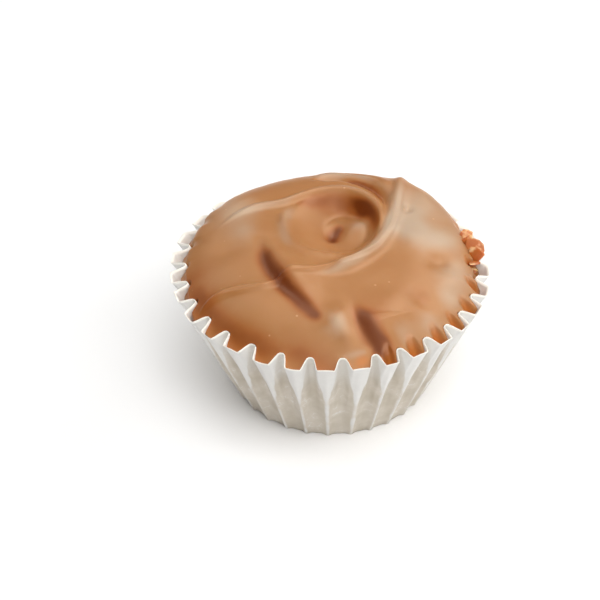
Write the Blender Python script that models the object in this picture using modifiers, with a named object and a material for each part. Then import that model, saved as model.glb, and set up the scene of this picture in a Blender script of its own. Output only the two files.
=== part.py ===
"""A milk chocolate and cashew cup with a swirled top, in the fluted paper cup that it was poured into.

The origin is the middle of the paper cup's flat underside. Sizes below are in millimetres, and angles
round the cup start at the front (-Y) and turn towards +X.
"""

import math
import random

import bmesh
import bpy
import numpy as np
from mathutils import Vector

MM = 0.001
WELD = 1e-5
SHARP_ANGLE = 50.0
FLUTE_DIGITS = 4

# Paper cup
BASE_RADIUS = 16.0
BASE_PLEAT_DEPTH = 0.5
RIM_RADIUS = 25.8
RIM_PLEAT_DEPTH = 2.4
RIM_HEIGHT = 22.6
RIM_OUTWARD_DROP = 0.6
PAPER_THICKNESS = 0.3
FLUTES = 31
# The inward folds that show at the front, in degrees. The rest of the ring is filled evenly.
FRONT_FOLDS = (-89.5, -78.0, -66.5, -54.5, -43.5, -31.0, -19.0, -8.0, 4.0, 16.5, 26.0, 38.0, 49.0, 58.5)
FOLD_TWIST = 0.09
FOLD_SHIFT = 1.2
RIM_UNEVENNESS = 0.3
# The outward folds are narrow ridges at the base, and the inward folds are narrow tips at the rim.
RIDGE_SHARPNESS = 4.0
TIP_WIDTH = 0.36
# Where the rim stands closer to the chocolate: middle, reach and blend in degrees, as for each side below
CLOSED_SIDE = (160.0, 100.0, 60.0)
CLOSED_RADIUS = 1.5
CLOSED_PLEAT = 1.2
PAPER_COLUMNS_PER_FLUTE = 6
PAPER_LEVELS = 5
PAPER_BASE_RING = 0.6

# Chocolate. It is the gap and the slant's allowance inside the paper, up to the edge of its top.
GAP = 0.3
SLANT_ALLOWANCE = 0.25
EDGE_HEIGHT = 22.6
EDGE_RADIUS = 22.6
TOP_HEIGHT = 26.6
DOME_POWER = 5.0
SHOULDER_POWER = 0.5
FLUTES_START = 0.86
# At the front the top slopes on into the folds without a shoulder.
SLOPING_SIDE = (-10.0, 112.0, 40.0)
SLOPE_DROP = 3.75
SLOPE_POWER = 4.0
# The front right has notches in the outward folds. The back stops short of the folds, the left nearly so.
NOTCHED_SIDE = (66.0, 50.0, 10.0)
NOTCH_DEPTH = 3.2
NOTCH_START = 0.9
NOTCH_SHARPNESS = 4.0
CLEAR_SIDE = (170.0, 70.0, 20.0)
CLEAR_SHARE = 0.95
LOOSE_SIDE = (-110.0, 60.0, 30.0)
LOOSE_SHARE = 0.75
RECESS_START = 0.86
EDGE_PASSES = 3
CHOCOLATE_COLUMNS_PER_FLUTE = 4
TOP_RINGS = 26
TOP_RING_CROWDING = 1.3
SIDE_LEVELS = 5
SIDE_LEVEL_CROWDING = 1.6
BASE_RINGS = 2
TOP_MARK = 2.0

# Strokes left by the spoon: path of (x, y), half width, height, ledge up to the left, share that fades out
CREASE_WIDTH = 0.25
LEDGE_REACH = 3.5
END_WIDTH = 0.4
STROKES = {
    "outer ribbon": (
        [(-21, -12.6), (-19.5, -11.2), (-17, -10.4), (-13, -10.6), (-9.5, -10), (-7, -8.2), (-4, -7.3)]
        + [(0, -5.9), (2.5, -4.8), (5.5, -2.5)],
        0.5,
        0.3,
        0.4,
        0.2,
    ),
    "main ribbon": (
        [(-4, -7.3), (0, -5.9), (2.5, -4.8), (5.5, -2.5), (7.8, 0.5), (9.2, 4), (9.9, 8), (10.3, 12)]
        + [(11, 16), (11.6, 20), (12, 24)],
        1.2,
        0.9,
        0.3,
        0.2,
    ),
    "inner ribbon": (
        [(-19, 5), (-16, 7.5), (-12.5, 9.8), (-9, 10.8), (-6.5, 12.5), (-4, 14.5), (-1, 15.7), (2.5, 15.6)]
        + [(5.5, 14), (7.2, 11.8), (7.9, 9), (7.9, 6), (7.2, 2.5), (5.6, 0)],
        0.8,
        0.7,
        -0.3,
        0.2,
    ),
    "back groove": (
        [(-4, 18.6), (-1, 19.2), (1.5, 19.2), (4, 18), (6.5, 15.6), (8.4, 12.5), (8.9, 9)],
        0.7,
        -0.8,
        0.0,
        0.2,
    ),
    "back rib": (
        [(-4, 21.2), (0, 21.7), (3.5, 21.4), (6.4, 19.7), (8.6, 16.5), (9.6, 13)],
        1.1,
        0.5,
        0.0,
        0.2,
    ),
    "spoon groove": (
        [(-11.9, 4.4), (-11.4, 1.4), (-11, -1.6), (-10.4, -4.6), (-9.3, -7.6), (-7.6, -10.3)]
        + [(-5.4, -12.9), (-3.1, -15.4), (-1, -18)],
        1.5,
        -0.7,
        2.6,
        0.5,
    ),
    "bowl lip": (
        [(-7.7, 10), (-7.7, 6), (-6.9, 2.4), (-5.4, -0.6), (-3, -2.4), (0, -2.9), (2.6, -1.8)],
        1.0,
        0.45,
        0.2,
        0.2,
    ),
    "dimple": ([(-1.0, 9.6), (-0.4, 7.6), (0.3, 5.8), (1.0, 4.2), (1.8, 2.8)], 1.5, -1.8, 0.0, 0.5),
    "front hollow": (
        [(3.4, -12.5), (3.5, -15), (3.8, -17.3), (4.6, -19.4), (6.3, -21.4), (8.6, -23.2), (11, -25)],
        1.6,
        -0.9,
        1.6,
        0.5,
    ),
}

# Bowl pressed into the middle
BOWL_CENTRE = (0.6, 5.4)
BOWL_RADII = (7.4, 9.4)
BOWL_DEPTH = 3.0
BOWL_STEEP_SIDE = 35.0
BOWL_STEEP_WALL = 0.25
BOWL_SHALLOW_WALL = 0.9

# Rounded lumps and hollows over the nuts: x, y, radius, height
LUMPS = (
    (4.9, 7.8, 2.3, 1.1),
    (-13.6, 3.0, 2.4, 0.3),
    (-16.5, 0.0, 2.6, -0.3),
    (-12.0, -14.0, 4.0, 0.4),
    (0.8, -17.6, 2.4, 0.8),
    (2.6, -20.4, 1.6, 0.5),
    (10.5, -14.0, 4.0, 0.6),
    (13.0, 3.0, 3.4, 0.5),
    (17.0, -3.0, 1.9, -0.7),
    (14.2, -12.0, 2.0, -0.6),
    (19.4, -7.0, 2.2, 0.5),
    (12.2, 9.4, 0.8, -0.5),
    (16.0, 14.0, 4.0, 0.8),
    (12.5, 19.0, 5.0, 1.3),
)

# Crumbs stuck to the right edge: degrees round the cup, radius, height, size
CRUMB_ROUGHNESS = 0.25
CRUMBS = (
    (98.0, 22.6, 23.3, 1.5),
    (95.5, 22.8, 23.7, 1.0),
    (102.0, 22.3, 23.9, 1.0),
    (89.5, 22.5, 22.4, 0.9),
)

CHOCOLATE_COLOUR = (0.50, 0.235, 0.105)
CHOCOLATE_ROUGHNESS = 0.38
PAPER_COLOUR = (0.90, 0.89, 0.86)
PAPER_ROUGHNESS = 0.75


def clear_scene():
    for item in list(bpy.data.objects):
        bpy.data.objects.remove(item, do_unlink=True)


def make_material(name, colour, roughness):
    material = bpy.data.materials.new(name)
    material.use_nodes = True
    shader = material.node_tree.nodes["Principled BSDF"]
    shader.inputs["Base Color"].default_value = (*colour, 1.0)
    shader.inputs["Roughness"].default_value = roughness
    shader.inputs["Metallic"].default_value = 0.0
    return material


def smoothstep(value):
    value = np.clip(value, 0.0, 1.0)
    return value * value * (3.0 - 2.0 * value)


# Flutes


def fold_angles():
    """The inward folds' angles round the ring, in radians, with the first repeated a full turn on."""
    draw = random.Random(7)
    shown = [math.radians(angle) for angle in FRONT_FOLDS]
    hidden = FLUTES - len(shown)
    step = (shown[0] + math.tau - shown[-1]) / (hidden + 1)
    filled = [shown[-1] + step * (i + 1 + draw.uniform(-0.1, 0.1)) for i in range(hidden)]
    return np.array(shown + filled + [shown[0] + math.tau])


FOLDS = fold_angles()


def side_share(around, side):
    """1 on one side of the cup and 0 away from it."""
    middle, reach, blend = side
    away = np.abs((np.degrees(around) - middle + 180.0) % 360.0 - 180.0)
    return smoothstep((reach - away) / blend)


def paper_surface(flute, level):
    """The paper's outer face as (x, y, z): flute counts the folds, level is 0 to 1 up the wall."""
    fold = np.floor(flute).astype(int) % FLUTES
    turned = FOLDS[fold] + (flute - np.floor(flute)) * (FOLDS[fold + 1] - FOLDS[fold])
    around = turned + FOLD_TWIST * (1.0 - level) * np.sin(turned)
    closed = side_share(around, CLOSED_SIDE)
    wave = np.sin(math.pi * flute) ** 2
    outward = wave**RIDGE_SHARPNESS * (1.0 - level) + smoothstep(wave / TIP_WIDTH) * level
    uneven = RIM_UNEVENNESS * level**3 * np.sin(FOLD_SHIFT * fold**2)
    depth = BASE_PLEAT_DEPTH + (RIM_PLEAT_DEPTH - CLOSED_PLEAT * closed - BASE_PLEAT_DEPTH) * level
    rim_radius = RIM_RADIUS - CLOSED_RADIUS * closed
    radius = BASE_RADIUS + (rim_radius - BASE_RADIUS) * level - depth * (1.0 - outward)
    height = (RIM_HEIGHT - RIM_OUTWARD_DROP * outward) * level + uneven * wave
    return radius * np.sin(around), -radius * np.cos(around), height


# Relief of the top


def smooth_path(points, pieces=8):
    """Points along a Catmull-Rom curve through the given ones."""
    points = np.array(points, float)
    ends = np.vstack([2 * points[0] - points[1], points, 2 * points[-1] - points[-2]])
    t = (np.arange(pieces) / pieces)[:, None]
    spans = []
    for a, b, c, d in zip(ends, ends[1:], ends[2:], ends[3:]):
        spans.append(b + 0.5 * t * (c - a + t * (2 * a - 5 * b + 4 * c - d + t * (3 * (b - c) + d - a))))
    return np.vstack(spans + [points[-1:]])


def stroke(x, y, path, half_width, height, ledge, ends):
    """A rib, or a groove where height is negative, beside a ledge: both taper off at the path's ends."""
    line = smooth_path(path)
    away_x = x[:, None] - line[:, 0]
    away_y = y[:, None] - line[:, 1]
    nearest = np.argmin(np.hypot(away_x, away_y), axis=1)
    rows = np.arange(len(x))
    away_x = away_x[rows, nearest]
    away_y = away_y[rows, nearest]
    tangent = np.gradient(line, axis=0)[nearest]
    tangent /= np.hypot(tangent[:, 0], tangent[:, 1])[:, None]
    left = tangent[:, 0] * away_y - tangent[:, 1] * away_x
    along = nearest / (len(line) - 1)
    fade = smoothstep(along / ends) * smoothstep((1.0 - along) / ends)
    width = half_width * (END_WIDTH + (1.0 - END_WIDTH) * fade)
    distance = np.hypot(away_x, away_y) / width
    rib = height * np.exp(-(distance**2))
    risen = 0.5 * (left + np.hypot(left, CREASE_WIDTH))
    wall = ledge * (1.0 - np.exp(-risen / width)) * np.exp(-((distance / LEDGE_REACH) ** 2))
    return fade * (rib + wall)


def bowl(x, y):
    """The pressed bowl: steep on the far right, shallow towards the front left."""
    across = (x - BOWL_CENTRE[0]) / BOWL_RADII[0]
    back = (y - BOWL_CENTRE[1]) / BOWL_RADII[1]
    facing = math.radians(BOWL_STEEP_SIDE)
    steep = 0.5 + 0.5 * np.cos(np.arctan2(back, across) - facing)
    wall = BOWL_SHALLOW_WALL + (BOWL_STEEP_WALL - BOWL_SHALLOW_WALL) * steep
    return -BOWL_DEPTH * smoothstep((1.0 - np.hypot(across, back)) / wall)


def relief(x, y):
    height = bowl(x, y)
    for path, half_width, rise, ledge, ends in STROKES.values():
        height += stroke(x, y, path, half_width, rise, ledge, ends)
    for centre_x, centre_y, radius, rise in LUMPS:
        height += rise * np.exp(-((x - centre_x) ** 2 + (y - centre_y) ** 2) / radius**2)
    return height


# Chocolate


def top_height(x, y, out):
    """Height of the top, where out goes from 0 in the middle to 1 at the edge."""
    shoulder = np.maximum(1.0 - out**DOME_POWER, 0.0) ** SHOULDER_POWER
    rounded = EDGE_HEIGHT + (TOP_HEIGHT - EDGE_HEIGHT) * shoulder
    sloping = TOP_HEIGHT - SLOPE_DROP * (np.hypot(x, y) / EDGE_RADIUS) ** SLOPE_POWER
    slope = side_share(np.arctan2(x, -y), SLOPING_SIDE)
    return rounded + (sloping - rounded) * slope + relief(x, y)


def inside_paper(flute, height):
    """The place (x, y) just inside the paper at a height."""
    x, y, _ = paper_surface(flute, np.minimum(height / RIM_HEIGHT, 1.0))
    keep = 1.0 - (PAPER_THICKNESS + GAP + SLANT_ALLOWANCE) / np.hypot(x, y)
    return x * keep, y * keep


def notch_depth(flute, around, out):
    """How deep the notches are that the edge has in the outward folds on one side."""
    deepens = smoothstep((out - NOTCH_START) / (1.0 - NOTCH_START))
    across = np.abs(np.sin(math.pi * flute)) ** NOTCH_SHARPNESS
    return NOTCH_DEPTH * side_share(around, NOTCHED_SIDE) * across * deepens


def top_edge(flute):
    """The top's edge as (x, y, z), which lies in the outward folds where they are filled."""
    height = np.full_like(flute, EDGE_HEIGHT)
    for _ in range(EDGE_PASSES):
        x, y = inside_paper(flute, height)
        around = np.arctan2(x, -y)
        wall = np.hypot(x, y)
        clear = CLEAR_SHARE * side_share(around, CLEAR_SIDE)
        empty = np.maximum(clear, LOOSE_SHARE * side_share(around, LOOSE_SIDE))
        keep = 1.0 - empty * np.maximum(wall - EDGE_RADIUS, 0.0) / wall
        x = x * keep
        y = y * keep
        height = top_height(x, y, np.ones_like(flute)) - notch_depth(flute, around, 1.0)
    return x, y, height


def chocolate_top(edge, flute, out):
    """The swirled dome, which takes up the flutes towards its edge."""
    x, y, _ = edge
    reach = np.hypot(x, y)
    fluted = smoothstep((out - FLUTES_START) / (1.0 - FLUTES_START))
    radius = out * (EDGE_RADIUS + (reach - EDGE_RADIUS) * fluted)
    x = x / reach * radius
    y = y / reach * radius
    height = top_height(x, y, out) - notch_depth(flute, np.arctan2(x, -y), out)
    return np.stack([x, y, height], axis=1)


def chocolate_side(edge, flute, level):
    """The side: level is 0 at the underside and 1 at the top's edge, which may stand off the paper."""
    bottom = PAPER_THICKNESS + GAP
    height = bottom + (edge[2] - bottom) * level
    x, y = inside_paper(flute, height)
    wall = np.hypot(x, y)
    recess = smoothstep((level - RECESS_START) / (1.0 - RECESS_START))
    keep = 1.0 - recess * (1.0 - np.hypot(edge[0], edge[1]) / wall)
    return np.stack([x * keep, y * keep, height], axis=1)


# Meshes


def turned_sheet(profile, columns):
    """A sheet turned round Z from a profile of (radius, height), kept as a plain grid to be shaped."""
    mesh = bmesh.new()
    points = [mesh.verts.new((radius, 0.0, height)) for radius, height in profile]
    edges = [mesh.edges.new(pair) for pair in zip(points, points[1:])]
    bmesh.ops.spin(
        mesh,
        geom=points + edges,
        axis=(0, 0, 1),
        cent=(0, 0, 0),
        angle=math.tau,
        steps=columns,
        use_merge=True,
    )
    bmesh.ops.remove_doubles(mesh, verts=mesh.verts, dist=WELD)
    bmesh.ops.recalc_face_normals(mesh, faces=mesh.faces)
    return mesh


def shape_sheet(mesh, surface):
    """Moves each point of a turned sheet to surface(flute, radius, height), which gives millimetres."""
    points = np.array([point.co[:] for point in mesh.verts])
    flute = (np.arctan2(points[:, 1], points[:, 0]) / math.tau) % 1.0 * FLUTES
    flute = np.round(flute, FLUTE_DIGITS) % FLUTES
    shaped = surface(flute, np.hypot(points[:, 0], points[:, 1]), points[:, 2])
    for point, place in zip(mesh.verts, shaped):
        point.co = place * MM


def add_object(name, mesh, material, collection):
    data = bpy.data.meshes.new(name)
    mesh.to_mesh(data)
    mesh.free()
    data.shade_smooth()
    data.set_sharp_from_angle(angle=math.radians(SHARP_ANGLE))
    data.materials.append(material)
    item = bpy.data.objects.new(name, data)
    collection.objects.link(item)
    return item


def paper_point(flute, radius, height):
    """Height 0 to 1 is up the wall, and radius 0 to 1 is out over the flat base."""
    x, y, z = paper_surface(flute, height)
    return np.stack([x * radius, y * radius, z], axis=1)


def make_paper_cup(collection, material):
    base = [(0.0, 0.0), (PAPER_BASE_RING, 0.0)]
    wall = [(1.0, i / PAPER_LEVELS) for i in range(PAPER_LEVELS + 1)]
    mesh = turned_sheet(base + wall, FLUTES * PAPER_COLUMNS_PER_FLUTE)
    shape_sheet(mesh, paper_point)
    cup = add_object("paper_cup", mesh, material, collection)
    thickness = cup.modifiers.new("Paper thickness", "SOLIDIFY")
    thickness.thickness = PAPER_THICKNESS * MM
    thickness.offset = -1.0
    return cup


def chocolate_point(flute, radius, height):
    """Height 0 to 1 is up the side, TOP_MARK is on the top, and radius 0 to 1 is out from the middle."""
    columns, column = np.unique(flute, return_inverse=True)
    edge = np.stack(top_edge(columns))[:, column]
    shaped = np.empty((len(flute), 3))
    top = height > 0.5 * (1.0 + TOP_MARK)
    side = ~top
    shaped[top] = chocolate_top(edge[:, top], flute[top], radius[top])
    shaped[side] = chocolate_side(edge[:, side], flute[side], height[side])
    shaped[side, :2] *= radius[side, None]
    return shaped


def make_chocolate(collection, material):
    underside = [(i / BASE_RINGS, 0.0) for i in range(BASE_RINGS)]
    side = [(1.0, 1.0 - (1.0 - i / SIDE_LEVELS) ** SIDE_LEVEL_CROWDING) for i in range(SIDE_LEVELS + 1)]
    top = [(1.0 - (1.0 - i / TOP_RINGS) ** TOP_RING_CROWDING, TOP_MARK) for i in range(TOP_RINGS)]
    mesh = turned_sheet(underside + side + top[::-1], FLUTES * CHOCOLATE_COLUMNS_PER_FLUTE)
    shape_sheet(mesh, chocolate_point)
    return add_object("chocolate", mesh, material, collection)


def make_crumb(place, size, draw):
    """A rough, faceted crumb of chocolate."""
    mesh = bmesh.new()
    bmesh.ops.create_icosphere(mesh, subdivisions=1, radius=size * MM)
    for point in mesh.verts:
        point.co *= draw.uniform(1.0 - CRUMB_ROUGHNESS, 1.0 + CRUMB_ROUGHNESS)
        point.co += place
    data = bpy.data.meshes.new("crumb")
    mesh.to_mesh(data)
    mesh.free()
    return bpy.data.objects.new("crumb", data)


def join_crumbs(chocolate, scene_collection):
    """Fuses the crumbs to the chocolate's right edge, so that they are one solid."""
    draw = random.Random(3)
    crumbs = bpy.data.collections.new("crumbs")
    scene_collection.children.link(crumbs)
    for degrees, radius, height, size in CRUMBS:
        around = math.radians(degrees)
        place = Vector((radius * math.sin(around), -radius * math.cos(around), height)) * MM
        crumbs.objects.link(make_crumb(place, size, draw))
    union = chocolate.modifiers.new("Crumbs", "BOOLEAN")
    union.operation = "UNION"
    union.operand_type = "COLLECTION"
    union.collection = crumbs
    union.solver = "EXACT"
    graph = bpy.context.evaluated_depsgraph_get()
    joined = bpy.data.meshes.new_from_object(chocolate.evaluated_get(graph))
    chocolate.modifiers.remove(union)
    chocolate.data = joined
    for crumb in list(crumbs.objects):
        bpy.data.objects.remove(crumb, do_unlink=True)
    bpy.data.collections.remove(crumbs)


def main():
    clear_scene()
    collection = bpy.data.collections.new("chocolate_cashew_cup")
    bpy.context.scene.collection.children.link(collection)
    make_paper_cup(collection, make_material("white_paper", PAPER_COLOUR, PAPER_ROUGHNESS))
    milk_chocolate = make_material("milk_chocolate", CHOCOLATE_COLOUR, CHOCOLATE_ROUGHNESS)
    chocolate = make_chocolate(collection, milk_chocolate)
    join_crumbs(chocolate, bpy.context.scene.collection)


main()
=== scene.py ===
"""Looks of the milk chocolate and cashew cup: the swirled chocolate, its crumbs and the fluted paper cup."""

import math
import random

import bmesh
import bpy
import numpy as np
from mathutils import Matrix, Vector


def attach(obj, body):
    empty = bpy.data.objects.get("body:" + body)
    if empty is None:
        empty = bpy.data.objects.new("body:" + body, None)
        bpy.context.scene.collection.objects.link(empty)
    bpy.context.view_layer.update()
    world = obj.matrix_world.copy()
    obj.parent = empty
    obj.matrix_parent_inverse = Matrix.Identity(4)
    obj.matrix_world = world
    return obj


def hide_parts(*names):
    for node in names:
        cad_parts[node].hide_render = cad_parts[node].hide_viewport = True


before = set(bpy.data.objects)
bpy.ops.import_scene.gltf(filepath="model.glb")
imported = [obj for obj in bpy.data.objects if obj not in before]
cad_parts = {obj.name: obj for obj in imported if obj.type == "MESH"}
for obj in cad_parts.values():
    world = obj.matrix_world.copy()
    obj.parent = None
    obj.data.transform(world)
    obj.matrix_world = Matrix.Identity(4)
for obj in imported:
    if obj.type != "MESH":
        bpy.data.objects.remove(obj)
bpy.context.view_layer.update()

MM = 0.001
WELD = 1e-5
FLUTE_DIGITS = 4

# Sizes are in millimetres. Angles start at the front (-Y) and turn towards +X.

# Paper cup
BASE_RADIUS = 16.0
BASE_PLEAT_DEPTH = 0.5
RIM_RADIUS = 25.8
RIM_PLEAT_DEPTH = 2.4
RIM_HEIGHT = 22.6
RIM_OUTWARD_DROP = 0.6
PAPER_THICKNESS = 0.11
FLUTES = 31
# The inward folds that show at the front, in degrees. The rest of the ring is filled evenly.
FRONT_FOLDS = (-89.5, -78.0, -66.5, -54.5, -43.5, -31.0, -19.0, -8.0, 4.0, 16.5, 26.0, 38.0, 49.0, 58.5)
FOLD_SEED = 7
FOLD_UNEVENNESS = 0.1
FOLD_TWIST = 0.09
FOLD_SHIFT = 1.2
RIM_UNEVENNESS = 0.3
# The outward folds are narrow ridges at the base, and the inward folds are narrow tips at the rim.
RIDGE_SHARPNESS = 4.0
TIP_WIDTH = 0.52
# Where the rim stands closer to the chocolate: middle, reach and blend in degrees, as for each side below
CLOSED_SIDE = (160.0, 100.0, 60.0)
CLOSED_RADIUS = 1.5
CLOSED_PLEAT = 1.2
RIM_CURL = 0.12
RIM_CURL_START = 0.975
# Rings of the flat base as shares of its radius, and where the base ends and the wall begins
PAPER_BASE_RINGS = (0.0, 0.4, 0.8)
PAPER_BASE_EDGE = 0.9
PAPER_COLUMNS_PER_FLUTE = 20
PAPER_LEVELS = 48
# The share of a pleat's depth that touches the chocolate, at levels up the wall
TOUCH_WIDTHS = (
    (0.0, 0.98),
    (0.45, 0.97),
    (0.55, 0.92),
    (0.65, 0.8),
    (0.75, 0.56),
    (0.86, 0.3),
    (1.0, 0.08),
)

# Chocolate. Up to the edge of its top it stands inside the paper by the gap and the slant's allowance.
GAP = 0.08
SLANT_ALLOWANCE = 0.06
EDGE_HEIGHT = 22.6
EDGE_RADIUS = 22.6
TOP_HEIGHT = 26.6
DOME_POWER = 5.0
SHOULDER_POWER = 0.5
FLUTES_START = 0.86
# At the front the top slopes on into the folds without a shoulder.
SLOPING_SIDE = (-10.0, 112.0, 40.0)
SLOPE_DROP = 3.75
SLOPE_POWER = 4.0
# The front right has notches in the outward folds. The back stops short of the folds, the left nearly so.
NOTCHED_SIDE = (66.0, 50.0, 10.0)
NOTCH_DEPTH = 3.2
NOTCH_START = 0.935
NOTCH_WALL = 0.06
NOTCH_SIDE = 0.5
CLEAR_SIDE = (160.0, 90.0, 14.0)
CLEAR_SHARE = 0.95
LOOSE_SIDE = (-110.0, 60.0, 30.0)
LOOSE_SHARE = 0.75
RECESS_START = 0.86
EDGE_PASSES = 3
LEVEL_PASSES = 3
CHOCOLATE_COLUMNS_PER_FLUTE = 20
TOP_RINGS = 132
TOP_RING_CROWDING = 1.15
SIDE_LEVELS = 16
SIDE_LEVEL_CROWDING = 1.6
BASE_RINGS = 3
# In the sheet that becomes the chocolate, height 0 to 1 is the side and TOP_MARK is the top.
TOP_MARK = 2.0
ABOVE_SIDE = 0.5 * (1.0 + TOP_MARK)

# Strokes left by the spoon. The foot of a ledge is rounded over CREASE_WIDTH. In half widths, a ledge fades
# over LEDGE_REACH, and a stroke is worked out as far as WALL_REACH with a ledge and RIB_REACH without.
# At its ends a stroke narrows to END_WIDTH of its width.
CREASE_WIDTH = 0.9
LEDGE_REACH = 3.5
WALL_REACH = 8.0
RIB_REACH = 2.7
END_WIDTH = 0.4
# Each has a path of (x, y), half width, height, ledge up to the left, and the share that fades at each end.
STROKES = {
    "outer ribbon": (
        [
            (-21, -12.6), (-19.5, -11.2), (-17, -10.4), (-13, -10.6), (-9.5, -10), (-7, -8.2),
            (-4, -7.3), (0, -5.9), (2.5, -4.8), (5.5, -2.5),
        ],
        0.5,
        0.3,
        0.4,
        0.2,
    ),
    "main ribbon": (
        [
            (-4, -7.6), (-0.3, -7.1), (1.9, -6), (3.7, -4.6), (5.5, -2.7), (7.1, -0.6), (8.4, 1.7),
            (9.4, 4.4), (10.1, 7.8), (10.6, 11.5), (11.2, 16), (11.7, 20), (12, 24),
        ],
        1.2,
        0.9,
        0.3,
        0.2,
    ),
    "inner ribbon": (
        [
            (-19, 5), (-16, 7.5), (-12.5, 9.8), (-9, 10.8), (-6.5, 12), (-4, 13.7), (-1, 15), (2.5, 15),
            (5.5, 13.2), (7.2, 10.9), (7.9, 8.6), (7.9, 6), (7.2, 2.5), (5.6, 0),
        ],
        0.8,
        0.7,
        -0.3,
        0.2,
    ),
    "back groove": (
        [
            (-4, 18.6), (-1, 19.2), (1.5, 19.2), (4, 18), (6.5, 15.6), (8.4, 12.5), (8.9, 9),
        ],
        0.7,
        -0.8,
        0.0,
        0.2,
    ),
    "back rib": (
        [
            (-4, 21.2), (0, 21.7), (3.5, 21.4), (6.4, 19.7), (8.6, 16.5), (9.6, 13),
        ],
        1.1,
        0.5,
        0.0,
        0.2,
    ),
    "spoon groove": (
        [
            (-11.9, 4.4), (-11.4, 1.4), (-11, -1.6), (-10.4, -4.6), (-9.3, -7.6), (-7.6, -10.3),
            (-5.4, -12.9), (-3.1, -15.4), (-1, -18),
        ],
        1.6,
        -0.55,
        2.3,
        0.5,
    ),
    "bowl lip": (
        [
            (-7.7, 10), (-7.7, 6), (-6.9, 2.4), (-5.4, -0.6), (-3, -2.4), (0, -2.9), (2.6, -1.8),
        ],
        1.0,
        0.45,
        0.2,
        0.2,
    ),
    "front hollow": (
        [
            (3.4, -12.5), (3.5, -15), (3.8, -17.3), (4.6, -19.4), (6.3, -21.4), (8.6, -23.2), (11, -25),
        ],
        1.7,
        -0.5,
        1.2,
        0.5,
    ),
}

# Bowl pressed into the middle
BOWL_CENTRE = (0.6, 5.4)
BOWL_RADII = (7.4, 9.4)
BOWL_DEPTH = 3.0
BOWL_STEEP_SIDE = 35.0
BOWL_STEEP_WALL = 0.32
BOWL_SHALLOW_WALL = 0.9

# Rounded lumps and hollows over the nuts: x, y, radius, height
LUMPS = (
    (4.7, 7.4, 2.5, 1.1),
    (0.5, 7.2, 1.7, -0.7),
    (0.2, 5.7, 1.6, -0.6),
    (-13.6, 3.0, 2.4, 0.3),
    (-16.5, 0.0, 2.6, -0.3),
    (-12.0, -14.0, 4.0, 0.4),
    (-16.5, 12.5, 6.0, 0.7),
    (0.8, -17.6, 2.4, 0.8),
    (2.6, -20.4, 1.6, 0.5),
    (10.5, -14.0, 4.0, 0.6),
    (13.0, 3.0, 3.4, 0.5),
    (17.0, -3.0, 1.9, -0.7),
    (14.2, -12.0, 2.0, -0.6),
    (19.4, -7.0, 2.2, 0.5),
    (12.2, 9.4, 0.8, -0.5),
    (16.0, 14.0, 4.0, 0.8),
    (12.5, 19.0, 5.0, 1.3),
)

# Fine lines on the ribbons: path of (x, y), half width, height
FINE_LINES = {
    "outer ribbon": (
        [
            (-20.8, -12.6), (-20.3, -11.6), (-18.9, -10.5), (-16.7, -9.7), (-14.2, -9.7),
            (-10.9, -10.0), (-8.9, -9.5), (-7.3, -8.8), (-4, -7.8), (-1, -6.4), (1.9, -5.2),
            (4.8, -3.2), (6.9, -1.3), (8.4, 1),
        ],
        0.28,
        0.22,
    ),
    "right of the main ribbon": (
        [
            (-1, -7.0), (2.3, -5.9), (5.6, -3.8), (8.2, -0.6), (9.9, 3.2), (10.9, 7.4), (11.4, 12),
            (12, 17),
        ],
        0.24,
        0.12,
    ),
    "left of the main ribbon": (
        [
            (2.4, -4.3), (5, -2.1), (7.1, 0.8), (8.5, 4), (9.3, 8), (9.8, 12),
        ],
        0.24,
        0.12,
    ),
    "inner ribbon": (
        [
            (-10.2, 10.2), (-7.7, 11.2), (-5.2, 13.1), (-2.1, 15), (0.9, 15.7), (4, 15), (6.6, 12.7),
        ],
        0.26,
        0.12,
    ),
    "back rib": (
        [
            (-4, 20.3), (-2.1, 20.3), (0.9, 20.6), (4, 19.9), (6.3, 18.3), (8.4, 15.6),
        ],
        0.26,
        0.15,
    ),
}
FINE_LINE_ENDS = 0.12

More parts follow.
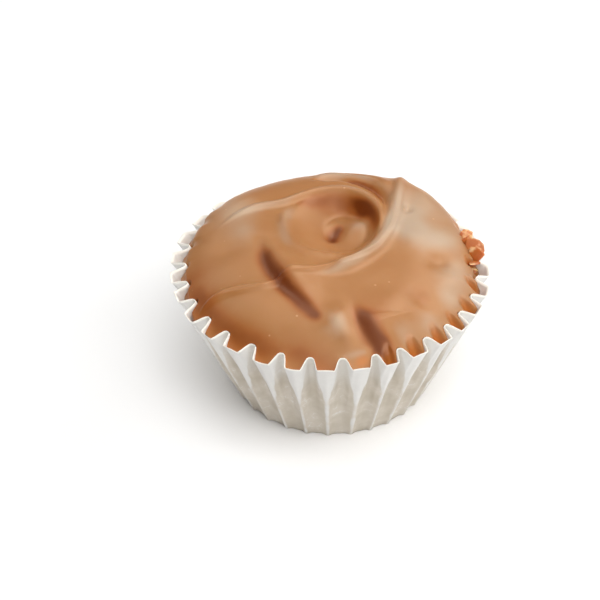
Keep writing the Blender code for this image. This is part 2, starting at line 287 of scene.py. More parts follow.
# Painted shade and painted sheen on the chocolate, pale painted sheen above 0 and deep brown painted shade
# below: path of (x, y), half width, strength
PAINTED_SHADE_AND_SHEEN = {
    "spoon groove": (
        [
            (-12.4, 3.6), (-11.3, 0), (-10.8, -2.5), (-10, -5.2), (-8.7, -8.2), (-7.1, -10.9),
            (-5.2, -13.5), (-3.3, -15.8), (-1.6, -17.5), (1.6, -20.8),
        ],
        1.5,
        -1.0,
    ),
    "front hollow": (
        [
            (3.2, -13), (4.1, -15.7), (5.1, -17.8), (6, -19.3), (7.2, -20.7), (8.4, -21.9), (10, -23.8),
        ],
        1.9,
        -0.95,
    ),
    "back wall of the bowl": (
        [
            (-9, 8), (-6, 10.6), (-3.5, 12), (-0.3, 12.9), (3, 12.6), (4.9, 11.4), (6.5, 8.6), (6.8, 5),
        ],
        1.8,
        -0.6,
    ),
    "steep wall of the bowl": (
        [
            (2.4, 13.6), (4.6, 11.8), (6.2, 9.5), (7.1, 6.4), (7.1, 4.7), (6, 2.5),
        ],
        0.9,
        -0.75,
    ),
    "dimple": (
        [
            (1.9, 10), (1.1, 8.2), (0.4, 6.9), (0, 5.2), (-0.5, 3.6),
        ],
        1.2,
        -0.9,
    ),
    "front left edge": (
        [
            (-23.4, 0), (-22.9, -5.6), (-21.2, -8.6), (-19.7, -11.8), (-17.2, -15.3), (-14.2, -18.2),
            (-10.2, -20.9), (-6.1, -22.2), (0, -23),
        ],
        2.3,
        -0.62,
    ),
    "back groove": (
        [
            (-1, 18), (1.2, 18.3), (3, 18.7), (4.5, 18), (6.5, 15.9), (7.8, 13.6), (8.4, 10.5),
            (8.4, 7),
        ],
        0.7,
        -0.7,
    ),
    "main ribbon": (
        [
            (-7, -9), (-3, -8.2), (-0.3, -7.4), (1.9, -6.2), (3.7, -4.8), (5.5, -2.9), (7.1, -0.8),
            (8.4, 1.5), (9.4, 4.2), (10.1, 7.5), (10.8, 11.5), (11.4, 16), (12, 22),
        ],
        1.0,
        0.65,
    ),
    "inner ribbon": (
        [
            (-19, 5), (-17.1, 6.4), (-14.8, 8.3), (-11.3, 9.7), (-7.6, 11.2), (-5.2, 12.7),
            (-2.4, 14.4), (0.2, 15.1), (3, 14.9), (5.7, 12.9), (7.5, 9.4), (8, 5), (7.4, 2),
        ],
        0.9,
        0.45,
    ),
    "back rib": (
        [
            (-6, 18.5), (-3.6, 19.8), (-0.3, 20.7), (3.4, 20.1), (6.6, 17.9), (9, 14),
        ],
        0.8,
        0.5,
    ),
    "left side of the bowl": (
        [
            (-5.5, 11), (-6.6, 9.7), (-7.5, 5.9), (-7.6, 2.7), (-6.9, -0.4), (-5, -2.5),
        ],
        1.2,
        0.4,
    ),
    "front lip": (
        [
            (0.2, -22.8), (2, -23), (3.7, -22.6), (5.3, -21.9), (6.5, -21.4),
        ],
        0.6,
        0.5,
    ),
}

# Rounder spots of painted shade and painted sheen: x, y, radius, strength
PAINTED_SHADE_AND_SHEEN_SPOTS = (
    (14.6, -11.6, 2.6, -0.4),
    (16.9, -1.7, 2.2, -0.45),
    (7.0, -15.5, 3.0, -0.2),
    (1.0, -18.4, 2.3, 0.6),
    (-2.4, -16.8, 1.3, -0.45),
    (-4.8, -22.8, 2.2, -0.35),
    (-1.6, -24.0, 2.2, -0.35),
    (1.4, -24.5, 2.0, -0.35),
    (8.6, -21.8, 1.8, -0.4),
    (4.4, 7.7, 1.7, 0.5),
    (-14.0, 3.4, 2.4, 0.45),
    (-22.0, -4.0, 3.0, -0.4),
    (19.6, -4.5, 3.2, 0.6),
    (18.2, -10.0, 2.8, 0.6),
    (15.0, -15.6, 2.4, 0.5),
    (11.0, -18.8, 2.0, 0.5),
    (9.8, 5.0, 2.4, 0.4),
    (13.0, 2.6, 3.0, 0.6),
    (17.5, 1.6, 3.0, 0.6),
    (12.5, 12.5, 4.0, 0.5),
    (12.7, 4.6, 2.8, 0.6),
    (15.6, -0.6, 2.6, 0.35),
    (-0.3, 19.6, 2.6, 0.25),
    (12.8, 8.4, 2.4, 0.5),
    (-15.5, 8.0, 4.0, 0.4),
    (17.0, 11.0, 4.0, 0.4),
    (19.5, 5.0, 3.5, 0.3),
    (-16.0, 12.0, 5.0, 0.25),
)
# How much of each painted shade or sheen mark fades at its ends
PAINTED_SHADE_AND_SHEEN_ENDS = 0.3

# Orange painted glow, where light comes through under the front lip: x, y, radius, strength
PAINTED_GLOW_SPOTS = (
    (4.3, -23.5, 0.7, 0.6),
    (5.2, -23.2, 0.7, 0.6),
)

# Where the notches' thin edge with its painted orange glow begins, out on the top and up the side, and over
# how much of the side it blends
THIN_START = 0.92
THIN_LEVEL = 0.7
THIN_BLEND = 0.1

CRUMB_ROUGHNESS = 0.3
CRUMB_SEED = 3
CRUMB_THICKNESS = 0.4
CRUMB_SHARP_ANGLE = 35.0
# Broken flakes stuck to the right edge: degrees round the cup, radius, height, size
CRUMBS = (
    (99.0, 22.4, 23.8, 1.7),
    (96.0, 22.9, 24.0, 1.7),
    (93.0, 23.0, 23.4, 1.4),
    (102.5, 22.2, 24.4, 1.2),
    (95.5, 23.8, 23.7, 0.8),
    (89.5, 22.8, 22.9, 1.0),
    (86.5, 22.6, 22.2, 0.9),
)


def smoothstep(value):
    value = np.clip(value, 0.0, 1.0)
    return value * value * (3.0 - 2.0 * value)


# Flutes


def fold_angles():
    """The inward folds' angles round the ring, in radians, with the first repeated a full turn on."""
    draw = random.Random(FOLD_SEED)
    shown = [math.radians(angle) for angle in FRONT_FOLDS]
    hidden = FLUTES - len(shown)
    step = (shown[0] + math.tau - shown[-1]) / (hidden + 1)
    shifts = [draw.uniform(-FOLD_UNEVENNESS, FOLD_UNEVENNESS) for _ in range(hidden)]
    filled = [shown[-1] + step * (i + 1 + shift) for i, shift in enumerate(shifts)]
    return np.array(shown + filled + [shown[0] + math.tau])


FOLDS = fold_angles()


def side_share(around, side):
    """1 on one side of the cup and 0 away from it."""
    middle, reach, blend = side
    away = np.abs((np.degrees(around) - middle + 180.0) % 360.0 - 180.0)
    return smoothstep((reach - away) / blend)


def paper_surface(flute, level):
    """The paper's outer face as (x, y, z): flute counts the folds, level is 0 to 1 up the wall."""
    fold = np.floor(flute).astype(int) % FLUTES
    turned = FOLDS[fold] + (flute - np.floor(flute)) * (FOLDS[fold + 1] - FOLDS[fold])
    around = turned + FOLD_TWIST * (1.0 - level) * np.sin(turned)
    closed = side_share(around, CLOSED_SIDE)
    wave = np.sin(math.pi * flute) ** 2
    outward = wave**RIDGE_SHARPNESS * (1.0 - level) + smoothstep(wave / TIP_WIDTH) * level
    uneven = RIM_UNEVENNESS * level**3 * np.sin(FOLD_SHIFT * fold**2)
    depth = BASE_PLEAT_DEPTH + (RIM_PLEAT_DEPTH - CLOSED_PLEAT * closed - BASE_PLEAT_DEPTH) * level
    rim_radius = RIM_RADIUS - CLOSED_RADIUS * closed
    radius = BASE_RADIUS + (rim_radius - BASE_RADIUS) * level - depth * (1.0 - outward)
    height = (RIM_HEIGHT - RIM_OUTWARD_DROP * outward) * level + uneven * wave
    return radius * np.sin(around), -radius * np.cos(around), height


# Relief of the top


PATH_PIECES = 24
POINTS_AT_A_TIME = 4096


def smooth_path(points):
    """Points along a smooth curve through the given ones."""
    points = np.array(points, float)
    ends = np.vstack([2 * points[0] - points[1], points, 2 * points[-1] - points[-2]])
    t = (np.arange(PATH_PIECES) / PATH_PIECES)[:, None]
    spans = []
    for a, b, c, d in zip(ends, ends[1:], ends[2:], ends[3:]):
        spans.append(b + 0.5 * t * (c - a + t * (2 * a - 5 * b + 4 * c - d + t * (3 * (b - c) + d - a))))
    return np.vstack(spans + [points[-1:]])


def nearest_on_line(x, y, line):
    """The index of the line's point that is nearest to each (x, y)."""
    nearest = np.empty(len(x), int)
    for start in range(0, len(x), POINTS_AT_A_TIME):
        some = slice(start, start + POINTS_AT_A_TIME)
        distance = np.hypot(x[some, None] - line[:, 0], y[some, None] - line[:, 1])
        nearest[some] = np.argmin(distance, axis=1)
    return nearest


def stroke(x, y, path, half_width, height, ledge, ends):
    """A rib, or a groove where height is negative, beside a ledge: both taper off at the path's ends."""
    line = smooth_path(path)
    far = half_width * (WALL_REACH if ledge else RIB_REACH)
    close = (x > line[:, 0].min() - far) & (x < line[:, 0].max() + far)
    close &= (y > line[:, 1].min() - far) & (y < line[:, 1].max() + far)
    nearest = nearest_on_line(x[close], y[close], line)
    away_x = x[close] - line[nearest, 0]
    away_y = y[close] - line[nearest, 1]
    tangent = np.gradient(line, axis=0)[nearest]
    tangent /= np.hypot(tangent[:, 0], tangent[:, 1])[:, None]
    left = tangent[:, 0] * away_y - tangent[:, 1] * away_x
    along = nearest / (len(line) - 1)
    fade = smoothstep(along / ends) * smoothstep((1.0 - along) / ends)
    width = half_width * (END_WIDTH + (1.0 - END_WIDTH) * fade)
    distance = np.hypot(away_x, away_y) / width
    rib = height * np.exp(-(distance**2))
    risen = 0.5 * (left + np.hypot(left, CREASE_WIDTH))
    wall = ledge * (1.0 - np.exp(-risen / width)) * np.exp(-((distance / LEDGE_REACH) ** 2))
    raised = np.zeros(len(x))
    raised[close] = fade * (rib + wall)
    return raised


def add_spots(x, y, spots):
    """The sum of round bumps: x, y, radius, strength."""
    total = np.zeros_like(x)
    for at_x, at_y, radius, rise in spots:
        total += rise * np.exp(-((x - at_x) ** 2 + (y - at_y) ** 2) / radius**2)
    return total


def bowl(x, y):
    """The pressed bowl: steep on the far right, shallow towards the front left."""
    across = (x - BOWL_CENTRE[0]) / BOWL_RADII[0]
    back = (y - BOWL_CENTRE[1]) / BOWL_RADII[1]
    facing = math.radians(BOWL_STEEP_SIDE)
    steep = 0.5 + 0.5 * np.cos(np.arctan2(back, across) - facing)
    wall = BOWL_SHALLOW_WALL + (BOWL_STEEP_WALL - BOWL_SHALLOW_WALL) * steep
    return -BOWL_DEPTH * smoothstep((1.0 - np.hypot(across, back)) / wall)


def relief(x, y):
    height = bowl(x, y)
    for path, half_width, rise, ledge, ends in STROKES.values():
        height += stroke(x, y, path, half_width, rise, ledge, ends)
    return height + add_spots(x, y, LUMPS)


# Chocolate


def top_height(x, y, out):
    """Height of the top, where out goes from 0 in the middle to 1 at the edge."""
    shoulder = np.maximum(1.0 - out**DOME_POWER, 0.0) ** SHOULDER_POWER
    rounded = EDGE_HEIGHT + (TOP_HEIGHT - EDGE_HEIGHT) * shoulder
    sloping = TOP_HEIGHT - SLOPE_DROP * (np.hypot(x, y) / EDGE_RADIUS) ** SLOPE_POWER
    slope = side_share(np.arctan2(x, -y), SLOPING_SIDE)
    return rounded + (sloping - rounded) * slope + relief(x, y)


def inside_paper(flute, height):
    """The place (x, y) just inside the paper at a height."""
    level = height / RIM_HEIGHT
    for _ in range(LEVEL_PASSES):
        level = np.clip(level + (height - paper_surface(flute, level)[2]) / RIM_HEIGHT, 0.0, 1.0)
    x, y, _ = paper_surface(flute, level)
    keep = 1.0 - (PAPER_THICKNESS + GAP + SLANT_ALLOWANCE) / np.hypot(x, y)
    return x * keep, y * keep


def notched_share(flute, around):
    """1 in the middle of a notch, in an outward fold on the notched side, and 0 away from it."""
    across = smoothstep((np.sin(math.pi * flute) ** 2 - NOTCH_SIDE) / (1.0 - NOTCH_SIDE))
    return side_share(around, NOTCHED_SIDE) * across


def notch_depth(flute, around, out):
    return NOTCH_DEPTH * notched_share(flute, around) * smoothstep((out - NOTCH_START) / NOTCH_WALL)


def top_edge(flute):
    """The top's edge as (x, y, z), which lies in the outward folds where they are filled."""
    height = np.full_like(flute, EDGE_HEIGHT)
    for _ in range(EDGE_PASSES):
        x, y = inside_paper(flute, height)
        around = np.arctan2(x, -y)
        wall = np.hypot(x, y)
        clear = CLEAR_SHARE * side_share(around, CLEAR_SIDE)
        empty = np.maximum(clear, LOOSE_SHARE * side_share(around, LOOSE_SIDE))
        keep = 1.0 - empty * np.maximum(wall - EDGE_RADIUS, 0.0) / wall
        x = x * keep
        y = y * keep
        height = top_height(x, y, np.ones_like(flute)) - notch_depth(flute, around, 1.0)
    return x, y, height


def chocolate_top(edge, flute, out):
    """The swirled dome, which takes up the flutes towards its edge."""
    x, y, _ = edge
    reach = np.hypot(x, y)
    fluted = smoothstep((out - FLUTES_START) / (1.0 - FLUTES_START))
    radius = out * (EDGE_RADIUS + (reach - EDGE_RADIUS) * fluted)
    x = x / reach * radius
    y = y / reach * radius
    height = top_height(x, y, out) - notch_depth(flute, np.arctan2(x, -y), out)
    return np.stack([x, y, height], axis=1)


def chocolate_side(edge, flute, level):
    """The side: level is 0 at the underside and 1 at the top's edge, which may stand off the paper."""
    bottom = PAPER_THICKNESS + GAP
    height = bottom + (edge[2] - bottom) * level
    x, y = inside_paper(flute, height)
    wall = np.hypot(x, y)
    recess = smoothstep((level - RECESS_START) / (1.0 - RECESS_START))
    keep = 1.0 - recess * np.maximum(1.0 - np.hypot(edge[0], edge[1]) / wall, 0.0)
    return np.stack([x * keep, y * keep, height], axis=1)


# Meshes


def turned_sheet(profile, columns):
    """A sheet turned round Z from a profile of (radius, height), kept as a plain grid to be shaped."""
    mesh = bmesh.new()
    points = [mesh.verts.new((radius, 0.0, height)) for radius, height in profile]
    edges = [mesh.edges.new(pair) for pair in zip(points, points[1:])]
    bmesh.ops.spin(
        mesh,
        geom=points + edges,
        axis=(0, 0, 1),
        cent=(0, 0, 0),
        angle=math.tau,
        steps=columns,
        use_merge=True,
    )
    bmesh.ops.remove_doubles(mesh, verts=mesh.verts, dist=WELD)
    bmesh.ops.recalc_face_normals(mesh, faces=mesh.faces)
    return mesh


def sheet_grid(mesh):
    """The flute, radius and height of each point of a turned sheet that isn't shaped yet."""
    points = np.array([point.co[:] for point in mesh.verts])
    flute = (np.arctan2(points[:, 1], points[:, 0]) / math.tau) % 1.0 * FLUTES
    return np.round(flute, FLUTE_DIGITS) % FLUTES, np.hypot(points[:, 0], points[:, 1]), points[:, 2]


def shape_sheet(mesh, surface):
    """Moves each point of a turned sheet to surface(flute, radius, height), which gives millimetres."""
    for point, place in zip(mesh.verts, surface(*sheet_grid(mesh))):
        point.co = place * MM


def mark_sheet(mesh, name, values):
    """Stores a value on each point, for a material to read."""
    layer = mesh.verts.layers.float.new(name)
    for point, value in zip(mesh.verts, values):
        point[layer] = value


def add_piece(name, mesh, material, node):
    """Makes the mesh a smooth piece on the body, standing for the node."""
    data = bpy.data.meshes.new(name)
    mesh.to_mesh(data)
    mesh.free()
    data.shade_smooth()
    data.materials.append(material)
    piece = bpy.data.objects.new(name, data)
    bpy.context.scene.collection.objects.link(piece)
    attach(piece, "root")
    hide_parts(node)
    return piece


def paper_point(flute, radius, height):
    """Height 0 to 1 is up the wall, whose rim curls out a little, and radius 0 to 1 is out over the base."""
    x, y, z = paper_surface(flute, height)
    curl = np.maximum(height - RIM_CURL_START, 0.0) / (1.0 - RIM_CURL_START)
    flare = 1.0 + RIM_CURL * curl**2 / RIM_RADIUS
    return np.stack([x * radius * flare, y * radius * flare, z], axis=1)


def paper_touch(flute, radius, height):
    """Above 0 where the paper lies on the chocolate, which is less of each pleat nearer the rim."""
    levels, widths = np.transpose(TOUCH_WIDTHS)
    touch = np.interp(height, levels, widths) - np.sin(math.pi * flute) ** 2
    return np.where(radius < PAPER_BASE_EDGE, -1.0, touch)


def make_paper_cup(material):
    base = [(radius, 0.0) for radius in PAPER_BASE_RINGS]
    wall = [(1.0, i / PAPER_LEVELS) for i in range(PAPER_LEVELS + 1)]
    mesh = turned_sheet(base + wall, FLUTES * PAPER_COLUMNS_PER_FLUTE)
    flute, radius, height = sheet_grid(mesh)
    mark_sheet(mesh, "touch", paper_touch(flute, radius, height))
    mark_sheet(mesh, "rise", height)
    shape_sheet(mesh, paper_point)
    cup = add_piece("fluted_paper_cup", mesh, material, "paper_cup")
    thickness = cup.modifiers.new("Paper thickness", "SOLIDIFY")
    thickness.thickness = PAPER_THICKNESS * MM
    thickness.offset = -1.0
    return cup


def chocolate_point(flute, radius, height):
    """Height 0 to 1 is up the side, TOP_MARK is the top, and radius 0 to 1 is out from the middle."""
    columns, column = np.unique(flute, return_inverse=True)
    edge = np.stack(top_edge(columns))[:, column]
    shaped = np.empty((len(flute), 3))
    top = height > ABOVE_SIDE
    side = ~top
    shaped[top] = chocolate_top(edge[:, top], flute[top], radius[top])
    shaped[side] = chocolate_side(edge[:, side], flute[side], height[side])
    shaped[side, :2] *= radius[side, None]
    return shaped


def fine_relief(x, y):
    lines = FINE_LINES.values()
    return sum(stroke(x, y, path, width, height, 0.0, FINE_LINE_ENDS) for path, width, height in lines)


def fine_chocolate_point(flute, radius, height):
    shaped = chocolate_point(flute, radius, height)
    top = height > ABOVE_SIDE
    shaped[top, 2] += fine_relief(shaped[top, 0], shaped[top, 1])
    return shaped


# Painted shade below 0 and painted sheen above 0, fixed to the chocolate's top
def chocolate_painted_shade_and_sheen(x, y):
    marks = PAINTED_SHADE_AND_SHEEN.values()
    painted_shade_and_sheen = sum(stroke(x, y, path, width, strength, 0.0, PAINTED_SHADE_AND_SHEEN_ENDS) for path, width, strength in marks)
    return painted_shade_and_sheen + add_spots(x, y, PAINTED_SHADE_AND_SHEEN_SPOTS)


def painted_glow_share(flute, radius, height, around):
    """Where the chocolate's edge is so thin in the notches that light comes through it, which is painted
    there as an orange glow.
    """
    top = height > ABOVE_SIDE
    near_edge = np.where(top, (radius - THIN_START) / NOTCH_WALL, (height - THIN_LEVEL) / THIN_BLEND)
    return smoothstep(near_edge) * notched_share(flute, around)


def make_chocolate(material):
    underside = [(i / BASE_RINGS, 0.0) for i in range(BASE_RINGS)]
    side = [(1.0, 1.0 - (1.0 - i / SIDE_LEVELS) ** SIDE_LEVEL_CROWDING) for i in range(SIDE_LEVELS + 1)]
    top = [(1.0 - (1.0 - i / TOP_RINGS) ** TOP_RING_CROWDING, TOP_MARK) for i in range(TOP_RINGS)]
    mesh = turned_sheet(underside + side + top[::-1], FLUTES * CHOCOLATE_COLUMNS_PER_FLUTE)
    grid = sheet_grid(mesh)
    shape_sheet(mesh, fine_chocolate_point)
    x, y, _ = np.transpose([point.co[:] for point in mesh.verts]) / MM
    # The painted shade and sheen, stored on each point for the material
    mark_sheet(mesh, "painted_shade_and_sheen", chocolate_painted_shade_and_sheen(x, y))
    # The orange glow is painted at the notches' thin edge and at spots under the front lip
    mark_sheet(mesh, "thin", painted_glow_share(*grid, np.arctan2(x, -y)) + add_spots(x, y, PAINTED_GLOW_SPOTS))
    return add_piece("swirled_chocolate", mesh, material, "chocolate")


def make_crumbs(material):
    """Broken flakes of chocolate, rough and thin, stuck to the right edge."""
    draw = random.Random(CRUMB_SEED)
    mesh = bmesh.new()
    for degrees, radius, height, size in CRUMBS:
        around = math.radians(degrees)
        place = Vector((radius * math.sin(around), -radius * math.cos(around), height)) * MM
        tip_over = Matrix.Rotation(draw.uniform(0, math.tau), 3, "X")
        turn = tip_over @ Matrix.Rotation(draw.uniform(0, math.tau), 3, "Z")
        crumb = bmesh.ops.create_icosphere(mesh, subdivisions=1, radius=size * MM)["verts"]
        for point in crumb:
            point.co *= draw.uniform(1.0 - CRUMB_ROUGHNESS, 1.0 + CRUMB_ROUGHNESS)
            point.co.z *= CRUMB_THICKNESS
            point.co = turn @ point.co + place
    piece = add_piece("edge_crumbs", mesh, material, "chocolate")
    piece.data.set_sharp_from_angle(angle=math.radians(CRUMB_SHARP_ANGLE))
    return piece


# Materials


class Shade:
    """A value or colour in a material, whose arithmetic adds the nodes that work it out."""

    def __init__(self, tree, socket=None):
        self.tree = tree
        self.socket = socket

    def node(self, kind, settings=None, values=None, output=0):
        made = self.tree.nodes.new(kind)
        for name, value in (settings or {}).items():
            setattr(made, name, value)
        for name, value in (values or {}).items():
            if isinstance(value, Shade):
                self.tree.links.new(value.socket, made.inputs[name])
            else:
                made.inputs[name].default_value = value
        return Shade(self.tree, made.outputs[output])

    def math(self, operation, *values):
        return self.node("ShaderNodeMath", {"operation": operation}, dict(enumerate(values)))

    def __add__(self, other):
        return self.math("ADD", self, other)

    def __sub__(self, other):
        return self.math("SUBTRACT", self, other)

    def __mul__(self, other):
        return self.math("MULTIPLY", self, other)

    def __radd__(self, other):
        return self.math("ADD", other, self)

    def __rsub__(self, other):
        return self.math("SUBTRACT", other, self)

    def __rmul__(self, other):
        return self.math("MULTIPLY", other, self)

    def size(self):
        return self.math("ABSOLUTE", self)

    def between(self, low, high):
        """0 up to low and 1 from high on, smooth between them."""
        ends = {"Value": self, "From Min": low, "From Max": high}
        return self.node("ShaderNodeMapRange", {"interpolation_type": "SMOOTHSTEP"}, ends)

    def blend(self, first, second):
        """The colour that goes from first to second as the value goes from 0 to 1."""
        return self.node("ShaderNodeMix", {"data_type": "RGBA"}, {0: self, 6: first, 7: second}, output=2)


def new_material(name, values):
    """A material with these plain values, its shader, and the start for what varies over the surface."""
    material = bpy.data.materials.new(name)
    material.use_nodes = True
    shader = material.node_tree.nodes["Principled BSDF"]
    for socket, value in values.items():
        shader.inputs[socket].default_value = value
    return material, shader, Shade(material.node_tree)


def plug(shader, socket, value):
    shader.id_data.links.new(value.socket, shader.inputs[socket])


def place_on_piece(start):
    return start.node("ShaderNodeTexCoord", output=3)


def noise(start, place, scale, detail):
    return start.node("ShaderNodeTexNoise", {}, {"Vector": place, "Scale": scale, "Detail": detail})


def cells(start, place, scale, output):
    """Round cells: output 0 is the distance from a cell's middle, and 1 is the cell's own random colour."""
    return start.node("ShaderNodeTexVoronoi", {}, {"Vector": place, "Scale": scale}, output)


def red_of(start, colour):
    return start.node("ShaderNodeSeparateColor", {}, {"Color": colour})


def bumps(start, height, strength, distance):
    """The surface's direction over fine bumps of this height."""
    values = {"Height": height, "Strength": strength, "Distance": distance}
    return start.node("ShaderNodeBump", {}, values)


def attribute(start, name):
    return start.node("ShaderNodeAttribute", {"attribute_name": name}, output=2)


# Scales of the patterns, in patches or grains to a metre
CLOUD_SCALE = 140.0
FINE_SCALE = 900.0
BUBBLE_SCALE = 420.0
CRUMB_GRAIN_SCALE = 500.0
FIBRE_SCALE = 900.0
PATCH_SCALE = 260.0
CREASE_SCALE = 420.0

MILK_BROWN = (0.39, 0.163, 0.051, 1)
CLOUDY_BROWN = (0.41, 0.177, 0.058, 1)
# Browns of painted shade in two strengths, and the pale brown of painted sheen
PAINTED_HALF_SHADE = (0.35, 0.105, 0.02, 1)
PAINTED_DEEP_SHADE = (0.165, 0.033, 0.003, 1)
PAINTED_SHEEN = (0.48, 0.34, 0.235, 1)
# Orange of the painted glow
PAINTED_GLOW_ORANGE = (0.56, 0.18, 0.032, 1)
BUBBLE_TAN = (0.75, 0.45, 0.24, 1)
CHOCOLATE_ROUGHNESS = 0.34
CLOUDY_ROUGHNESS = 0.06
CLOUD_TONE = 0.12
BUBBLE_STRENGTH = 0.4
# How far a bubble reaches from the middle of its cell, and the random value above which a cell has one
BUBBLE_EDGE = (0.11, 0.04)
BUBBLE_CHOICE = (0.68, 0.7)


def chocolate_material():
    """Milk chocolate, a little cloudy, with small pale bubbles, a satin sheen that varies, and painted shade,
    painted sheen and a painted orange glow.
    """
    material, shader, start = new_material(
        "milk_chocolate",
        {
            "Specular IOR Level": 0.58,
            "Specular Tint": (1.0, 0.88, 0.72, 1.0),
            "Subsurface Weight": 0.15,
            "Subsurface Radius": (1.0, 0.35, 0.12),
            "Subsurface Scale": 0.0015,
        },
    )
    place = place_on_piece(start)
    cloudy = noise(start, place, CLOUD_SCALE, detail=3.0).between(0.35, 0.65)
    fine = noise(start, place, FINE_SCALE, detail=4.0)
    from_middle = cells(start, place, BUBBLE_SCALE, output=0)
    chance = red_of(start, cells(start, place, BUBBLE_SCALE, output=1))
    bubble = from_middle.between(*BUBBLE_EDGE) * chance.between(*BUBBLE_CHOICE)
    # The painted shade and sheen marks, with a little random cloud added
    painted_shade_and_sheen = attribute(start, "painted_shade_and_sheen") + (cloudy - 0.5) * CLOUD_TONE
    # depth is how strong the painted shade is
    depth = 0.0 - painted_shade_and_sheen
    brown = cloudy.blend(MILK_BROWN, CLOUDY_BROWN)
    # Deep brown painted shade in the grooves, the hollows and the bowl's walls
    brown = depth.between(0.0, 0.6).blend(brown, PAINTED_HALF_SHADE)
    brown = depth.between(0.35, 1.0).blend(brown, PAINTED_DEEP_SHADE)
    # Pale painted sheen
    brown = painted_shade_and_sheen.between(0.0, 1.0).blend(brown, PAINTED_SHEEN)
    # Orange painted glow where light comes through thin chocolate
    brown = attribute(start, "thin").blend(brown, PAINTED_GLOW_ORANGE)
    plug(shader, "Base Color", (bubble * BUBBLE_STRENGTH).blend(brown, BUBBLE_TAN))
    plug(shader, "Roughness", CHOCOLATE_ROUGHNESS + CLOUDY_ROUGHNESS * cloudy)
    plug(shader, "Normal", bumps(start, fine + bubble, strength=0.1, distance=0.0002))
    return material


# The crumbs' orange is partly their own colour and partly painted glow, and the tan patches are painted
# highlights scattered by the grain
CRUMB_ORANGE = (0.48, 0.13, 0.022, 1)
CRUMB_HIGHLIGHT_TAN = (0.80, 0.48, 0.24, 1)


def crumb_material():
    """Freshly broken chocolate, rough and thin enough to glow orange, with part of that glow painted into its
    orange and painted highlights in tan patches.
    """
    material, shader, start = new_material(
        "broken_chocolate",
        {
            "Roughness": 0.45,
            "Subsurface Weight": 0.4,
            "Subsurface Radius": (1.0, 0.45, 0.15),
            "Subsurface Scale": 0.002,
        },
    )
    grain_and_highlights = noise(start, place_on_piece(start), CRUMB_GRAIN_SCALE, detail=4.0)
    # Painted highlights in tan patches over the orange
    plug(shader, "Base Color", grain_and_highlights.between(0.5, 0.66).blend(CRUMB_ORANGE, CRUMB_HIGHLIGHT_TAN))
    plug(shader, "Normal", bumps(start, grain_and_highlights, strength=0.5, distance=0.0003))
    return material


DULL_WHITE = (0.78, 0.765, 0.74, 1)
BRIGHT_WHITE = (0.85, 0.835, 0.81, 1)
DEEP_STAIN = (0.58, 0.52, 0.43, 1)
LIGHT_STAIN = (0.70, 0.64, 0.56, 1)
# The rim's cream is a painted glow of light through the paper's edge
RIM_GLOW_CREAM = (0.96, 0.93, 0.87, 1)
# The stain stops in this band about the line where a pleat leaves the chocolate, and patches move the line.
STAIN_EDGE = 0.07
STAIN_UNEVENNESS = 0.4
PAPER_CREASE_WIDTH = 0.02
PAPER_CREASE_PALENESS = 0.7
# Shares of the wall's height, over which the stain fades by STAIN_FADE and the rim turns to a cream painted
# glow of light through the paper's edge
STAIN_FADES = (0.6, 0.85)
STAIN_FADE = 0.6
RIM_GLOW_TURNS = (0.975, 0.99)


def paper_material():
    """White paper that the chocolate stains where a pleat touches it, with pale creases and a cream painted
    glow along the rim.
    """
    finish = {"Roughness": 0.7, "Specular IOR Level": 0.3}
    material, shader, start = new_material("greaseproof_paper", finish)
    place = place_on_piece(start)
    fibres = noise(start, place, FIBRE_SCALE, detail=5.0)
    patchy = noise(start, place, PATCH_SCALE, detail=4.0)
    creased = noise(start, place, CREASE_SCALE, detail=2.0)
    rise = attribute(start, "rise")
    touch = attribute(start, "touch") + (patchy - 0.5) * STAIN_UNEVENNESS
    touching = touch.between(-STAIN_EDGE, STAIN_EDGE)
    crease = (creased - 0.5).size().between(PAPER_CREASE_WIDTH, 0.0) * patchy.between(0.5, 0.62)
    white = fibres.blend(DULL_WHITE, BRIGHT_WHITE)
    stained = patchy.between(0.3, 0.7).blend(DEEP_STAIN, LIGHT_STAIN)
    faded = 1.0 - rise.between(*STAIN_FADES) * STAIN_FADE
    stain = touching * (1.0 - crease * PAPER_CREASE_PALENESS) * faded
    paper = stain.blend(white, stained)
    # Cream painted glow along the rim
    plug(shader, "Base Color", rise.between(*RIM_GLOW_TURNS).blend(paper, RIM_GLOW_CREAM))
    plug(shader, "Normal", bumps(start, fibres * 0.4 + patchy, strength=0.3, distance=0.0003))
    return material


# Stage

CAMERA_DISTANCE = 0.4
CAMERA_ELEVATION = 39.23
AIM_HEIGHT = 0.013
LENS = 147.6
CLIP_START = 0.01
# Shares of the picture's width
AIM_RIGHT = 31.67 / 600
AIM_DOWN = 10.19 / 600


def make_camera():
    data = bpy.data.cameras.new("camera")
    data.lens = LENS
    data.shift_x = -AIM_RIGHT
    data.shift_y = AIM_DOWN
    data.clip_start = CLIP_START
    camera = bpy.data.objects.new("camera", data)
    bpy.context.scene.collection.objects.link(camera)
    tilt = math.radians(CAMERA_ELEVATION)
    camera.location = (0, -CAMERA_DISTANCE * math.cos(tilt), AIM_HEIGHT + CAMERA_DISTANCE * math.sin(tilt))
    camera.rotation_euler = (math.pi / 2 - tilt, 0, 0)
    bpy.context.scene.camera = camera


FLOOR_SIZE = 1.5
FLOOR_DROP = 0.00005
FLOOR_WHITE = (0.93, 0.937, 0.955, 1)


def floor_material():
    finish = {"Base Color": FLOOR_WHITE, "Roughness": 0.9, "Specular IOR Level": 0.1}
    return new_material("floor", finish)[0]


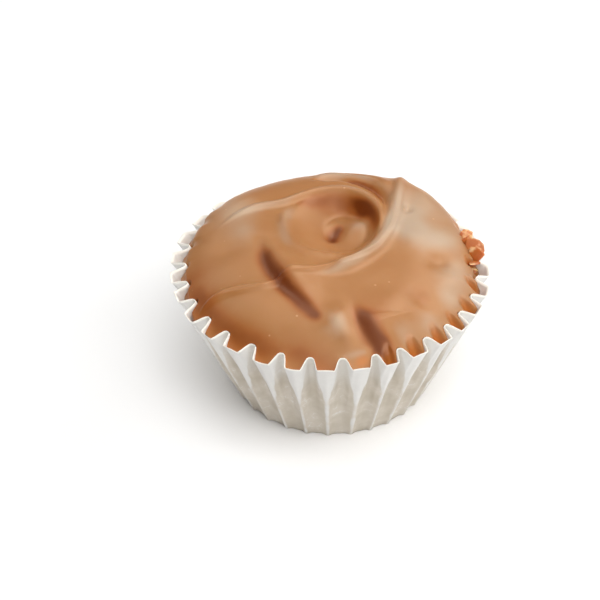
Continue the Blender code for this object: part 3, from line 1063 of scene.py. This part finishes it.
def make_floor(material):
    mesh = bmesh.new()
    bmesh.ops.create_grid(mesh, x_segments=1, y_segments=1, size=FLOOR_SIZE)
    data = bpy.data.meshes.new("floor")
    mesh.to_mesh(data)
    mesh.free()
    data.materials.append(material)
    floor = bpy.data.objects.new("floor", data)
    floor.location.z = -FLOOR_DROP
    bpy.context.scene.collection.objects.link(floor)


LIGHT_DISTANCE = 0.6
LIGHT_AIM = Vector((0, 0, 0.015))
LIGHT_COLOUR = (1.0, 0.987, 0.96)
LIGHT_SIZE = 0.4
ROOM_BRIGHTNESS = 0.03
# Degrees round from the right towards the back, degrees up, power for the colours, power for the sheen
LIGHTS = (
    (0, 25, 0.85, 2.3),
    (45, 25, 0.9, 1.0),
    (90, 25, 1.05, 0.7),
    (135, 25, 0.85, 0.3),
    (270, 50, 1.05, 0.0),
    (315, 50, 1.3, 0.2),
    (270, 74, 1.45, 1.0),
    (315, 25, 0.0, 1.6),
    (45, 50, 0.0, 0.9),
    (135, 50, 0.0, 0.6),
    (45, 74, 0.0, 1.2),
)


def make_light(around, up, power, shines):
    """A soft round light, which either lights the colours or only shows in the sheen."""
    data = bpy.data.lights.new("soft_light", "AREA")
    data.shape = "DISK"
    data.size = LIGHT_SIZE
    data.energy = power
    data.color = LIGHT_COLOUR
    light = bpy.data.objects.new("soft_light", data)
    turn = Matrix.Rotation(math.radians(around), 3, "Z") @ Matrix.Rotation(-math.radians(up), 3, "Y")
    light.location = LIGHT_AIM + LIGHT_DISTANCE * (turn @ Vector((1, 0, 0)))
    light.rotation_euler = (light.location - LIGHT_AIM).to_track_quat("Z", "Y").to_euler()
    light.visible_diffuse = not shines
    light.visible_glossy = shines
    bpy.context.scene.collection.objects.link(light)


def make_studio():
    world = bpy.data.worlds.new("studio")
    world.use_nodes = True
    background = world.node_tree.nodes["Background"]
    background.inputs["Color"].default_value = (*LIGHT_COLOUR, 1)
    background.inputs["Strength"].default_value = ROOM_BRIGHTNESS
    bpy.context.scene.world = world
    for around, up, colour_power, sheen_power in LIGHTS:
        make_light(around, up, colour_power, False)
        make_light(around, up, sheen_power, True)
    bpy.context.scene.view_settings.view_transform = "Standard"


make_chocolate(chocolate_material())
make_crumbs(crumb_material())
make_paper_cup(paper_material())
make_camera()
make_floor(floor_material())
make_studio()
